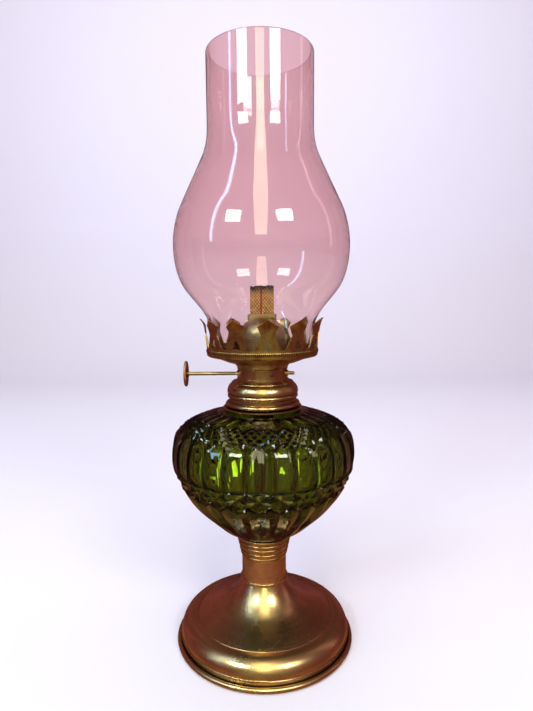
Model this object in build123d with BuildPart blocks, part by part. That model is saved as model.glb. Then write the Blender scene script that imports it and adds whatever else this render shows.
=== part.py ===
from build123d import *
import os
from math import cos, radians, sin, sqrt

os.makedirs("parts", exist_ok=True)

# A standing oil lamp: brass foot and stem, pressed glass font, flat-wick burner and glass chimney.
# Millimetres. The lamp's axis is Z, its underside is Z = 0 and its front faces -Y.

# Foot, pad and ballast
foot_radius = 60.0
foot_height = 41.3
foot_wall = 0.9
rim_roll_radius = 1.7
skirt_inset = 3.1
skirt_height = 7.6
foot_bead_radius = 0.6
step_inset = 13.9
step_height = 17.0
slope_inset = 29.0
slope_height = 23.5
foot_neck_height = 1.2
pad_thickness = 2.0
pad_proud = 0.4
pad_margin = 2.5
ballast_thickness = 6.0
ballast_cone_height = 8.0
ballast_cone_inset = 15.0
ballast_top_radius = 22.0
ballast_clearance = 0.3

# Stem, tie rod and its nuts
stem_radius = 15.0
stem_wall = 0.9
stem_length = 16.0
stem_ring_height = 1.6
stem_ring_width = 1.1
ferrule_length = 10.0
ferrule_wall = 1.0
rod_radius = 3.0
rod_clearance = 0.25
rod_tail = 0.6
nut_flats = 10.0
nut_height = 5.0
washer_radius = 9.0
washer_thickness = 1.6
fastener_clearance = 1.0

# Cup under the font
cup_lip_radius = 17.9
cup_height = 14.9
cup_wall = 0.8
cup_lip_roll = 0.8
# Beads round the cup: share of its height, radius
cup_beads = ((0.16, 0.52), (0.36, 0.57), (0.6, 0.62), (0.8, 0.67))

# Font: radius, body height and wall of the glass, and its peg and neck
font_radius = 60.6
font_body_height = 85.5
font_wall = 4.0
# Swell of the font's outline: share of its radius, share of its height, direction in degrees
font_swell = ((0.592, 0.147, 42), (0.855, 0.356, 58), (1.0, 0.65, 90), (0.934, 0.846, 128), (0.71, 0.937, 160))
font_foot_direction = 12
font_shoulder_direction = 168
font_lip_gap = 0.3
peg_height = 6.4
peg_bottom_radius = 13.2
peg_top_radius = 16.4
font_neck_radius = 20.2
font_neck_wall = 3.0
font_neck_height = 8.8
font_seat_radius = 22.6
font_seat_height = 0.9

# Threaded collar cemented on the font
collar_radius = 22.0
collar_height = 9.9
collar_wall = 0.8
collar_flange_width = 3.9
collar_roll_width = 2.6
collar_roll_height = 1.9
collar_bead_width = 1.3
collar_bead_height = 1.6
thread_radius = 15.9
thread_length = 8.0
thread_clearance = 0.1
gasket_thickness = 0.6
gasket_width = 4.5
gasket_edge = 0.6

# Burner shells
skirt_radius = 23.4
skirt_rise = 9.0
burner_wall = 0.7
skirt_shoulder_inset = 3.0
skirt_shoulder_height = 6.0
skirt_bead_radius = 0.6
neck_radius = 16.2
neck_overlap = 1.2
neck_below_skirt_top = 3.6
neck_height = 14.5
neck_ridge_drop = 4.5
neck_ridge_radius = 0.5
neck_flare = 1.4
neck_flare_height = 2.4
floor_thickness = 0.8
air_hole_radius = 1.25
air_hole_angle = 20.0
vent_radius = 1.3
vent_bore = 0.9
vent_offset = 5.5
vent_below_floor = 8.0
vent_above_floor = 12.0

# Wick, wick tube and the shaft that winds it
wick_width = 15.9
wick_thickness = 2.0
wick_above_slot = 18.0
wick_length = 146.0
wick_clearance = 0.3
tube_wall = 0.5
tube_corner = 0.9
tube_below_thread = 1.0
tube_top_drop = 8.0
shaft_radius = 1.15
shaft_clearance = 0.05
shaft_drop = 7.4
shaft_stub = 20.8
shaft_reach = 49.2
spur_radius = 4.0
spur_tooth = 0.8
spur_teeth = 12
spur_thickness = 1.2
spur_spacing = 9.0
spur_gap = 0.1
window_clearance = 0.4
box_wall = 0.5
box_clearance = 0.5
bush_wall = 0.9
bush_length = 3.4
knob_radius = 8.25
knob_thickness = 1.3
knob_hub_radius = 2.0
knob_hub_length = 1.2
knob_rim_radius = 0.6

# Gallery, air plate and flame dome
gallery_radius = 36.3
gallery_wall = 0.8
gallery_step_radius = 22.9
gallery_shoulder_inset = 2.8
gallery_dish_height = 3.9
gallery_edge = 1.5
gallery_band_top = 10.0
gallery_spigot = 2.0
gallery_clearance = 0.1
prong_count = 12
prong_height = 18.3
prong_lean = 1.4
prong_bend_height = 12.0
prong_bend_out = 3.2
prong_twist = 5.2
prong_root_gap = 0.2
prong_root_width = 3.0
prong_waist_height = 8.9
prong_waist_width = 7.8
prong_head_height = 14.4
prong_head_width = 12.2
prong_slot_base = 0.7
prong_slot_height = 5.0
prong_slot_wide = 4.8
prong_slot_narrow = 2.4
plate_thickness = 0.8
plate_clearance = 0.9
plate_holes = 24
plate_hole_radius = 1.2
plate_ring_radii = (20.5, 26.5)
dome_radius = 14.9
dome_wall = 0.6
dome_foot_step = 0.7
dome_foot_height = 7.6
dome_side_height = 4.4
dome_crown_height = 12.6
dome_lip_above = 1.4
slot_clearance = 0.8
lip_wall = 0.7
lip_depth = 6.4

# Chimney
chimney_foot_radius = 33.4
chimney_height = 186.2
chimney_wall = 1.8
chimney_bulge_radius = 56.3
chimney_bulge_height = 69.0
chimney_flue_radius = 33.6
chimney_foot_height = 13.0
chimney_flue_drop = 45.0
chimney_edge = 0.7
# Turns of the chimney: inset from the bulge or out from the foot or flue, rise, direction in degrees
chimney_foot_turn = (2.9, 24.0, 63)
chimney_bulge_turn = (5.4, 25.0, 61, 115)
chimney_neck_turn = (4.4, 19.7, 115)
# the turns are drawn for these heights below and above the bulge, and stretch with the real ones
chimney_drawn_lower = 69.0
chimney_drawn_upper = 72.2

# Levels up the axis, from the underside
foot_base = pad_proud
foot_top = foot_base + foot_height
stem_top = foot_top + stem_length
cup_lip_level = stem_top + cup_height
font_bottom = cup_lip_level + cup_lip_roll + font_lip_gap
font_shoulder_top = font_bottom + font_body_height
collar_seat = font_shoulder_top + font_seat_height
collar_top = collar_seat + collar_height
burner_base = collar_top + gasket_thickness
skirt_top = burner_base + skirt_rise
neck_bottom = skirt_top - neck_below_skirt_top
neck_top = neck_bottom + neck_height
shaft_level = neck_top - shaft_drop
gallery_base = neck_top
shoulder_level = gallery_base + gallery_dish_height
plate_bottom = shoulder_level + gallery_wall
plate_top = plate_bottom + plate_thickness
band_top = gallery_base + gallery_band_top
dome_shoulder = plate_top + dome_foot_height
dome_spring = dome_shoulder + dome_side_height
dome_lip_top = dome_spring + dome_crown_height + dome_lip_above
wick_top = dome_lip_top + wick_above_slot
tube_top = dome_lip_top - tube_top_drop


def bead(major_radius, level, minor_radius):
    # A round bead raised on a spun or turned wall
    with Locations((0, 0, level)):
        Torus(major_radius, minor_radius)


def radial_plane(angle, level):
    # A plane on the axis at a level, whose normal points outwards at an angle from +X
    outward = (cos(radians(angle)), sin(radians(angle)), 0)
    sideways = (-sin(radians(angle)), cos(radians(angle)), 0)
    return Plane(origin=(0, 0, level), x_dir=sideways, z_dir=outward)


# ---- Foot ----
foot_skirt_radius = foot_radius - skirt_inset
step_radius = foot_radius - step_inset
step_level = foot_base + step_height
slope_radius = foot_radius - slope_inset
slope_level = foot_base + slope_height
skirt_level = foot_base + skirt_height

with BuildPart() as foot_shell:
    with BuildSketch(Plane.XZ):
        with BuildLine():
            Line((foot_skirt_radius, foot_base + rim_roll_radius), (foot_skirt_radius, skirt_level))
            TangentArc((foot_skirt_radius, skirt_level), (step_radius, step_level), tangent=(0, 1))
            slope = Line((step_radius, step_level), (slope_radius, slope_level))
            TangentArc(slope @ 1, (stem_radius, foot_top - foot_neck_height), tangent=slope % 1)
            Line((stem_radius, foot_top - foot_neck_height), (stem_radius, foot_top))
            offset(amount=foot_wall, side=Side.LEFT)
        make_face()
    revolve(axis=Axis.Z)
    bead(foot_radius - rim_roll_radius, foot_base + rim_roll_radius, rim_roll_radius)
    bead(foot_skirt_radius, skirt_level - 2 * foot_bead_radius, foot_bead_radius)
    bead(step_radius, step_level, foot_bead_radius)
foot_shell.part.label = "foot_shell"
export_step(foot_shell.part, "parts/foot_shell.step")

with BuildPart() as baize_pad:
    with BuildSketch(Plane.XY):
        Circle(foot_skirt_radius - foot_wall - pad_margin)
    extrude(amount=pad_thickness)
baize_pad.part.label = "baize_pad"
export_step(baize_pad.part, "parts/baize_pad.step")

ballast_radius = foot_skirt_radius - foot_wall - ballast_clearance
ballast_top = pad_thickness + ballast_thickness
ballast_crown = ballast_top + ballast_cone_height
recess_top = pad_thickness + rod_tail + fastener_clearance + nut_height + washer_thickness

with BuildPart() as ballast_plate:
    with BuildSketch(Plane.XZ):
        Polygon(
            (0, pad_thickness),
            (ballast_radius, pad_thickness),
            (ballast_radius, ballast_top),
            (ballast_radius - ballast_cone_inset, ballast_top),
            (ballast_top_radius, ballast_crown),
            (0, ballast_crown),
            align=None,
        )
    revolve(axis=Axis.Z)
    with BuildSketch(Plane.XY.offset(pad_thickness)):
        Circle(washer_radius + fastener_clearance)
    extrude(amount=recess_top - pad_thickness, mode=Mode.SUBTRACT)
    with BuildSketch(Plane.XY.offset(recess_top)):
        Circle(rod_radius + rod_clearance)
    extrude(amount=ballast_crown - recess_top, mode=Mode.SUBTRACT)
ballast_plate.part.label = "ballast_plate"
export_step(ballast_plate.part, "parts/ballast_plate.step")

# ---- Stem, with the rod that ties foot, stem and cup together ----
cup_floor_top = stem_top + cup_wall
lower_washer = recess_top - washer_thickness
lower_nut = lower_washer - nut_height
upper_nut = cup_floor_top + washer_thickness

with BuildPart() as tie_rod:
    with BuildSketch(Plane.XY.offset(lower_nut - rod_tail)):
        Circle(rod_radius)
    extrude(amount=upper_nut + nut_height + rod_tail - lower_nut + rod_tail)
tie_rod.part.label = "tie_rod"
export_step(tie_rod.part, "parts/tie_rod.step")

with BuildPart() as tie_nuts:
    for nut_level in (lower_nut, upper_nut):
        with BuildSketch(Plane.XY.offset(nut_level)):
            RegularPolygon(radius=nut_flats / 2, side_count=6, major_radius=False)
            Circle(rod_radius, mode=Mode.SUBTRACT)
        extrude(amount=nut_height)
tie_nuts.part.label = "tie_nuts"
export_step(tie_nuts.part, "parts/tie_nuts.step")

with BuildPart() as tie_washers:
    for washer_level in (lower_washer, cup_floor_top):
        with BuildSketch(Plane.XY.offset(washer_level)):
            Circle(washer_radius)
            Circle(rod_radius + rod_clearance, mode=Mode.SUBTRACT)
        extrude(amount=washer_thickness)
tie_washers.part.label = "tie_washers"
export_step(tie_washers.part, "parts/tie_washers.step")

with BuildPart() as stem_tube:
    with BuildSketch(Plane.XY.offset(foot_top)):
        Circle(stem_radius)
        Circle(stem_radius - stem_wall, mode=Mode.SUBTRACT)
    extrude(amount=stem_length)
stem_tube.part.label = "stem_tube"
export_step(stem_tube.part, "parts/stem_tube.step")

ferrule_radius = stem_radius - max(stem_wall, foot_wall)

with BuildPart() as stem_ferrule:
    with BuildSketch(Plane.XY.offset(foot_top - foot_neck_height)):
        Circle(ferrule_radius)
        Circle(ferrule_radius - ferrule_wall, mode=Mode.SUBTRACT)
    extrude(amount=ferrule_length)
stem_ferrule.part.label = "stem_ferrule"
export_step(stem_ferrule.part, "parts/stem_ferrule.step")

with BuildPart() as stem_ring:
    with BuildSketch(Plane.XY.offset(foot_top)):
        Circle(stem_radius + stem_ring_width)
        Circle(stem_radius, mode=Mode.SUBTRACT)
    extrude(amount=stem_ring_height)
    fillet(stem_ring.faces().sort_by(Axis.Z)[-1].edges().sort_by(SortBy.RADIUS)[-1], stem_ring_width / 2)
stem_ring.part.label = "stem_ring"
export_step(stem_ring.part, "parts/stem_ring.step")

# ---- Cup ----
cup_taper = (cup_lip_radius - stem_radius) / cup_height
cup_slant_wall = cup_wall * sqrt(1 + cup_taper ** 2)


def cup_radius(level):
    # Outside radius of the cup's plain wall at a level
    return stem_radius + cup_taper * (level - stem_top)


with BuildPart() as font_cup:
    with BuildSketch(Plane.XZ):
        with BuildLine():
            Polyline(
                (rod_radius + rod_clearance, stem_top),
                (stem_radius, stem_top),
                (cup_lip_radius, cup_lip_level),
            )
            offset(amount=cup_wall, side=Side.LEFT, kind=Kind.INTERSECTION)
        make_face()
    revolve(axis=Axis.Z)
    bead(cup_lip_radius, cup_lip_level, cup_lip_roll)
    for height_share, bead_radius in cup_beads:
        bead_level = stem_top + height_share * cup_height
        bead(cup_radius(bead_level), bead_level, bead_radius)
font_cup.part.label = "font_cup"
export_step(font_cup.part, "parts/font_cup.step")

# ---- Font: pressed glass, widest above its middle ----
peg_bottom = font_bottom - peg_height
peg_top = font_bottom - font_lip_gap - cup_lip_roll
swell = [(share * font_radius, font_bottom + rise * font_body_height, turn) for share, rise, turn in font_swell]
font_outline = [
    (peg_top_radius, font_bottom, font_foot_direction),
    *swell,
    (font_seat_radius, font_shoulder_top, font_shoulder_direction),
]
font_neck_top = collar_seat + font_neck_height
font_bore = font_neck_radius - font_neck_wall


def glass_side(radius, level, direction, depth):
    # A point at a depth behind the outline, square to its direction in degrees
    return (radius - depth * sin(radians(direction)), level + depth * cos(radians(direction)))


with BuildPart() as font:
    with BuildSketch(Plane.XZ):
        with BuildLine():
            outside = [glass_side(*place, 0) for place in font_outline]
            inside = [glass_side(*place, font_wall) for place in font_outline[1:-1]]
            slants = [(cos(radians(place[2])), sin(radians(place[2]))) for place in font_outline]
            Polyline((0, peg_bottom), (peg_bottom_radius, peg_bottom), (peg_top_radius, peg_top), outside[0])
            Spline(*outside, tangents=slants)
            Polyline(
                outside[-1],
                (font_seat_radius, collar_seat),
                (font_neck_radius, collar_seat),
                (font_neck_radius, font_neck_top),
                (font_bore, font_neck_top),
                (font_bore, font_shoulder_top - font_wall),
            )
            Spline((0, font_bottom + font_wall), *inside, (font_bore, font_shoulder_top - font_wall))
            Line((0, font_bottom + font_wall), (0, peg_bottom))
        make_face()
    revolve(axis=Axis.Z)
font.part.label = "font"
export_step(font.part, "parts/font.step")

with BuildPart() as cup_cement:
    with BuildSketch(Plane.XZ):
        Polygon(
            (washer_radius + fastener_clearance, cup_floor_top),
            (cup_radius(cup_floor_top) - cup_slant_wall, cup_floor_top),
            (cup_radius(peg_top) - cup_slant_wall, peg_top),
            (peg_top_radius, peg_top),
            (peg_bottom_radius, peg_bottom),
            (washer_radius + fastener_clearance, peg_bottom),
            align=None,
        )
    revolve(axis=Axis.Z)
cup_cement.part.label = "cup_cement"
export_step(cup_cement.part, "parts/cup_cement.step")

# ---- Collar: a double-walled ring, threaded inside and cemented on the font's neck ----
throat_radius = thread_radius + thread_clearance
thread_bottom = burner_base - thread_length
flange_top = collar_seat + collar_wall
collar_inner = collar_radius - collar_wall

with BuildPart() as font_collar:
    with BuildSketch(Plane.XZ):
        with BuildLine():
            Polyline(
                (collar_radius + collar_flange_width, flange_top),
                (collar_radius, flange_top),
                (collar_radius, collar_top),
                (throat_radius, collar_top),
                (throat_radius, thread_bottom),
            )
            offset(amount=collar_wall, side=Side.LEFT, kind=Kind.INTERSECTION)
        make_face()
        with Locations((collar_radius, flange_top + collar_roll_height)):
            Ellipse(collar_roll_width, collar_roll_height)
        with Locations((collar_radius, collar_top - collar_bead_height)):
            Ellipse(collar_bead_width, collar_bead_height)
        with Locations((collar_inner, flange_top)):
            Rectangle(
                2 * collar_roll_width,
                collar_height,
                align=(Align.MAX, Align.MIN),
                mode=Mode.SUBTRACT,
            )
        with Locations((throat_radius, thread_bottom)):
            Rectangle(collar_wall, thread_length - gasket_thickness, align=(Align.MIN, Align.MIN))
        with Locations((throat_radius, collar_top - collar_wall)):
            Rectangle(collar_radius - throat_radius, collar_wall, align=(Align.MIN, Align.MIN))
    revolve(axis=Axis.Z)
font_collar.part.label = "font_collar"
export_step(font_collar.part, "parts/font_collar.step")

with BuildPart() as collar_cement:
    with BuildSketch(Plane.XY.offset(collar_seat)):
        Circle(collar_inner)
        Circle(font_neck_radius, mode=Mode.SUBTRACT)
    extrude(amount=font_neck_height)
collar_cement.part.label = "collar_cement"
export_step(collar_cement.part, "parts/collar_cement.step")

gasket_outer = collar_radius - gasket_edge

with BuildPart() as collar_gasket:
    with BuildSketch(Plane.XY.offset(collar_top)):
        Circle(gasket_outer)
        Circle(gasket_outer - gasket_width, mode=Mode.SUBTRACT)
    extrude(amount=gasket_thickness)
collar_gasket.part.label = "collar_gasket"
export_step(collar_gasket.part, "parts/collar_gasket.step")

# ---- Burner shells ----
shoulder_radius = skirt_radius - skirt_shoulder_inset
skirt_top_radius = neck_radius + burner_wall
skirt_shoulder = burner_base + skirt_shoulder_height

with BuildPart() as burner_skirt:
    with BuildSketch(Plane.XZ):
        with BuildLine():
            Polyline(
                (thread_radius, thread_bottom),
                (thread_radius, burner_base),
                (skirt_radius, burner_base),
                (skirt_radius, burner_base + burner_wall),
            )
            TangentArc(
                (skirt_radius, burner_base + burner_wall), (shoulder_radius, skirt_shoulder), tangent=(0, 1)
            )
            Polyline(
                (shoulder_radius, skirt_shoulder),
                (skirt_top_radius, skirt_top - neck_overlap),
                (skirt_top_radius, skirt_top),
            )
            offset(amount=burner_wall, side=Side.LEFT, kind=Kind.INTERSECTION)
        make_face()
    revolve(axis=Axis.Z)
    bead(shoulder_radius - skirt_bead_radius, skirt_shoulder + skirt_bead_radius / 2, skirt_bead_radius)
burner_skirt.part.label = "burner_skirt"
export_step(burner_skirt.part, "parts/burner_skirt.step")

shaft_offset = -(wick_thickness / 2 + spur_gap + spur_radius)
shaft_plane = Plane(origin=(0, shaft_offset, shaft_level), x_dir=(0, 1, 0), z_dir=(1, 0, 0))
shaft_bore = shaft_radius + shaft_clearance
bush_radius = shaft_bore + bush_wall
neck_ridge = neck_top - neck_ridge_drop
neck_top_radius = neck_radius + neck_flare
neck_inner = neck_radius - burner_wall

with BuildPart() as burner_neck:
    with BuildSketch(Plane.XZ):
        with BuildLine():
            Polyline(
                (neck_radius, neck_bottom),
                (neck_radius, neck_ridge),
                (neck_top_radius, neck_ridge + neck_flare_height),
                (neck_top_radius, neck_top),
            )
            offset(amount=burner_wall, side=Side.LEFT, kind=Kind.INTERSECTION)
        make_face()
    revolve(axis=Axis.Z)
    bead(neck_radius, neck_ridge, neck_ridge_radius)
    with BuildSketch(shaft_plane):
        Circle(bush_radius)
    extrude(amount=2 * neck_radius, both=True, mode=Mode.SUBTRACT)
    for air_angle in (air_hole_angle - 90, air_hole_angle + 90):
        with BuildSketch(radial_plane(air_angle, shaft_level)):
            Circle(air_hole_radius)
        extrude(amount=2 * neck_radius, mode=Mode.SUBTRACT)
burner_neck.part.label = "burner_neck"
export_step(burner_neck.part, "parts/burner_neck.step")

# ---- Wick tube, its partition and the box over the spur wheels ----
tube_bore_width = wick_width + 2 * wick_clearance
tube_bore_depth = wick_thickness + 2 * wick_clearance
tube_width = tube_bore_width + 2 * tube_wall
tube_depth = tube_bore_depth + 2 * tube_wall
spur_places = (-spur_spacing / 2, spur_spacing / 2)
window_width = spur_thickness + 2 * window_clearance
window_height = 2 * (sqrt(spur_radius ** 2 - (shaft_offset + tube_depth / 2) ** 2) + window_clearance)
tube_bottom = thread_bottom - tube_below_thread

with BuildPart() as wick_tube:
    with BuildSketch(Plane.XY.offset(tube_bottom)):
        RectangleRounded(tube_width, tube_depth, tube_corner)
        RectangleRounded(tube_bore_width, tube_bore_depth, tube_corner - tube_wall, mode=Mode.SUBTRACT)
    extrude(amount=tube_top - tube_bottom)
    with BuildSketch(Plane.XZ.offset(tube_bore_depth / 2 - tube_wall / 2)):
        for spur_place in spur_places:
            with Locations((spur_place, shaft_level)):
                Rectangle(window_width, window_height)
    extrude(amount=2 * tube_wall, mode=Mode.SUBTRACT)
wick_tube.part.label = "wick_tube"
export_step(wick_tube.part, "parts/wick_tube.step")

with BuildPart() as burner_floor:
    with BuildSketch(Plane.XY.offset(neck_bottom)):
        Circle(neck_inner)
        RectangleRounded(tube_width, tube_depth, tube_corner, mode=Mode.SUBTRACT)
        with Locations((0, vent_offset)):
            Circle(vent_radius, mode=Mode.SUBTRACT)
    extrude(amount=floor_thickness)
burner_floor.part.label = "burner_floor"
export_step(burner_floor.part, "parts/burner_floor.step")

with BuildPart() as vent_tube:
    with BuildSketch(Plane.XY.offset(neck_bottom - vent_below_floor)):
        with Locations((0, vent_offset)):
            Circle(vent_radius)
            Circle(vent_bore, mode=Mode.SUBTRACT)
    extrude(amount=vent_below_floor + vent_above_floor)
vent_tube.part.label = "vent_tube"
export_step(vent_tube.part, "parts/vent_tube.step")

box_half_height = spur_radius + box_clearance + box_wall
box_back = -tube_depth / 2
box_front = shaft_offset - spur_radius - box_clearance - box_wall

with BuildPart() as ratchet_box:
    with BuildSketch(Plane.XY.offset(shaft_level - box_half_height)):
        with Locations((0, (box_front + box_back) / 2)):
            Rectangle(tube_width, box_back - box_front)
    extrude(amount=2 * box_half_height)
    with BuildSketch(Plane.XY.offset(shaft_level - box_half_height + box_wall)):
        with Locations((0, (box_front + box_wall + box_back) / 2)):
            Rectangle(tube_width - 2 * box_wall, box_back - box_front - box_wall)
    extrude(amount=2 * (box_half_height - box_wall), mode=Mode.SUBTRACT)
    with BuildSketch(shaft_plane):
        Circle(shaft_bore)
    extrude(amount=tube_width, both=True, mode=Mode.SUBTRACT)
ratchet_box.part.label = "ratchet_box"
export_step(ratchet_box.part, "parts/ratchet_box.step")

bush_middle = sqrt((neck_radius - burner_wall / 2) ** 2 - shaft_offset ** 2)

with BuildPart() as shaft_bushes:
    for bush_side in (-1, 1):
        with BuildSketch(shaft_plane.offset(bush_side * bush_middle)):
            Circle(bush_radius)
            Circle(shaft_bore, mode=Mode.SUBTRACT)
        extrude(amount=bush_length / 2, both=True)
shaft_bushes.part.label = "shaft_bushes"
export_step(shaft_bushes.part, "parts/shaft_bushes.step")

# ---- Shaft, spur wheels and knob ----
with BuildPart() as wick_shaft:
    with BuildSketch(shaft_plane.offset(-shaft_reach)):
        Circle(shaft_radius)
    extrude(amount=shaft_reach + shaft_stub)
    fillet(wick_shaft.edges().group_by(Axis.X)[-1], shaft_radius / 2)
wick_shaft.part.label = "wick_shaft"
export_step(wick_shaft.part, "parts/wick_shaft.step")

with BuildPart() as spur_wheels:
    for spur_place in spur_places:
        with BuildSketch(shaft_plane.offset(spur_place)):
            Circle(spur_radius - spur_tooth)
            with PolarLocations(spur_radius - spur_tooth, spur_teeth):
                Polygon((-spur_tooth, -spur_tooth), (spur_tooth, 0), (-spur_tooth, spur_tooth), align=None)
            Circle(shaft_radius, mode=Mode.SUBTRACT)
        extrude(amount=spur_thickness / 2, both=True)
spur_wheels.part.label = "spur_wheels"
export_step(spur_wheels.part, "parts/spur_wheels.step")

knob_plane = shaft_plane.offset(-shaft_reach)

with BuildPart() as wick_knob:
    with BuildSketch(knob_plane):
        Circle(knob_radius - knob_rim_radius)
    extrude(amount=-knob_thickness)
    with Locations(knob_plane.offset(-knob_thickness / 2)):
        Torus(knob_radius - knob_rim_radius, knob_rim_radius)
    with BuildSketch(knob_plane):
        Circle(knob_hub_radius)
        Circle(shaft_radius, mode=Mode.SUBTRACT)
    extrude(amount=knob_hub_length)
wick_knob.part.label = "wick_knob"
export_step(wick_knob.part, "parts/wick_knob.step")

with BuildPart() as wick:
    with BuildSketch(Plane.XY.offset(wick_top - wick_length)):
        Rectangle(wick_width, wick_thickness)
    extrude(amount=wick_length)
wick.part.label = "wick"
export_step(wick.part, "parts/wick.step")

# ---- Gallery with its spring prongs ----
edge_radius = gallery_radius - gallery_shoulder_inset
spigot_radius = neck_top_radius - burner_wall - gallery_clearance
edge_level = shoulder_level + gallery_edge
bend_level = band_top + prong_bend_height
tip_level = band_top + prong_height
bend_radius = gallery_radius + prong_lean
tip_radius = bend_radius + prong_bend_out
waist_level = band_top + prong_waist_height
head_level = band_top + prong_head_height
prong_pitch = 360 / prong_count


def prong_radius(level):
    # Radius of the leaning prong wall, used to turn a share of the circle into a width
    return gallery_radius + prong_lean * min(level - band_top, prong_bend_height) / prong_bend_height


def half_gap(level, width):
    # Half the space between two prongs of a given width
    return prong_radius(level) * sin(radians(prong_pitch / 2)) - width / 2


notch_plane = radial_plane(prong_twist - 90 + prong_pitch / 2, 0)
slot_plane = radial_plane(prong_twist - 90, 0)

with BuildPart(mode=Mode.PRIVATE) as prong_notch:
    with BuildSketch(notch_plane):
        with BuildLine():
            waist_gap = half_gap(waist_level, prong_waist_width)
            head_gap = half_gap(head_level, prong_head_width)
            full_gap = half_gap(tip_level, 0) + gallery_wall
            over_level = tip_level + prong_height
            side = Polyline(
                (0, band_top + prong_root_gap),
                (prong_root_width / 2, band_top + prong_root_gap),
                (waist_gap, waist_level),
                (head_gap, head_level),
                (full_gap, tip_level),
                (full_gap, over_level),
                (0, over_level),
            )
            mirror(side, about=Plane.YZ)
        make_face()
    extrude(amount=2 * gallery_radius)

with BuildPart(mode=Mode.PRIVATE) as prong_slot:
    with BuildSketch(slot_plane):
        slot_base = band_top + prong_slot_base
        Polygon(
            (-prong_slot_wide / 2, slot_base),
            (prong_slot_wide / 2, slot_base),
            (prong_slot_narrow / 2, slot_base + prong_slot_height),
            (-prong_slot_narrow / 2, slot_base + prong_slot_height),
            align=None,
        )
    extrude(amount=2 * gallery_radius)

with BuildPart() as gallery:
    with BuildSketch(Plane.XZ):
        with BuildLine():
            Polyline(
                (spigot_radius - gallery_wall, gallery_base),
                (gallery_step_radius, gallery_base),
                (edge_radius - gallery_wall, shoulder_level),
                (edge_radius + gallery_shoulder_inset - gallery_edge, shoulder_level),
            )
            TangentArc(
                (gallery_radius - gallery_edge, shoulder_level), (gallery_radius, edge_level), tangent=(1, 0)
            )
            Polyline((gallery_radius, edge_level), (gallery_radius, band_top), (bend_radius, bend_level))
            TangentArc(
                (bend_radius, bend_level),
                (tip_radius, tip_level),
                tangent=(prong_lean, prong_bend_height),
            )
            offset(amount=gallery_wall, side=Side.LEFT, kind=Kind.INTERSECTION)
        make_face()
    revolve(axis=Axis.Z)
    with BuildSketch(Plane.XY.offset(gallery_base - gallery_spigot)):
        Circle(spigot_radius)
        Circle(spigot_radius - gallery_wall, mode=Mode.SUBTRACT)
    extrude(amount=gallery_spigot)
    with PolarLocations(0, prong_count):
        add(prong_notch.part, mode=Mode.SUBTRACT)
        add(prong_slot.part, mode=Mode.SUBTRACT)
gallery.part.label = "gallery"
export_step(gallery.part, "parts/gallery.step")

plate_radius = gallery_radius - gallery_wall - plate_clearance
plate_slot_width = tube_width + slot_clearance
plate_slot_depth = tube_depth + slot_clearance

with BuildPart() as air_plate:
    with BuildSketch(Plane.XY.offset(plate_bottom)):
        Circle(plate_radius)
        RectangleRounded(plate_slot_width, plate_slot_depth, tube_corner, mode=Mode.SUBTRACT)
        for ring_radius in plate_ring_radii:
            with PolarLocations(ring_radius, plate_holes):
                Circle(plate_hole_radius, mode=Mode.SUBTRACT)
    extrude(amount=plate_thickness)
air_plate.part.label = "air_plate"
export_step(air_plate.part, "parts/air_plate.step")

# ---- Flame dome with a raised lip round its slot ----
slot_width = wick_width + 2 * slot_clearance
slot_depth = wick_thickness + 2 * slot_clearance
dome_foot_radius = dome_radius + 2 * dome_foot_step

with BuildPart() as flame_dome:
    with BuildSketch(Plane.XZ):
        with BuildLine():
            Polyline(
                (dome_foot_radius, plate_top),
                (dome_foot_radius, dome_shoulder),
                (dome_foot_radius - dome_foot_step, dome_shoulder),
                (dome_foot_radius - dome_foot_step, dome_shoulder + 2 * dome_foot_step),
                (dome_radius, dome_shoulder + 2 * dome_foot_step),
                (dome_radius, dome_spring),
            )
            EllipticalCenterArc((0, dome_spring), dome_radius, dome_crown_height, arc_size=90)
            Line((0, dome_spring + dome_crown_height), (0, dome_spring + dome_crown_height - dome_wall))
            EllipticalCenterArc(
                (0, dome_spring), dome_radius - dome_wall, dome_crown_height - dome_wall, arc_size=90
            )
            Polyline(
                (dome_radius - dome_wall, dome_spring),
                (dome_radius - dome_wall, plate_top),
                (dome_foot_radius, plate_top),
            )
        make_face()
    revolve(axis=Axis.Z)
    with BuildSketch(Plane.XY.offset(dome_lip_top - lip_depth)):
        RectangleRounded(slot_width + 2 * lip_wall, slot_depth + 2 * lip_wall, slot_depth / 2)
    extrude(amount=lip_depth)
    with BuildSketch(Plane.XY.offset(dome_spring)):
        RectangleRounded(slot_width, slot_depth, slot_depth / 2 - lip_wall)
    extrude(amount=dome_lip_top - dome_spring, mode=Mode.SUBTRACT)
    with BuildSketch(Plane.XY.offset(plate_top)):
        Circle(dome_radius - dome_wall)
    extrude(amount=dome_spring - plate_top, mode=Mode.SUBTRACT)
flame_dome.part.label = "flame_dome"
export_step(flame_dome.part, "parts/flame_dome.step")

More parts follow.
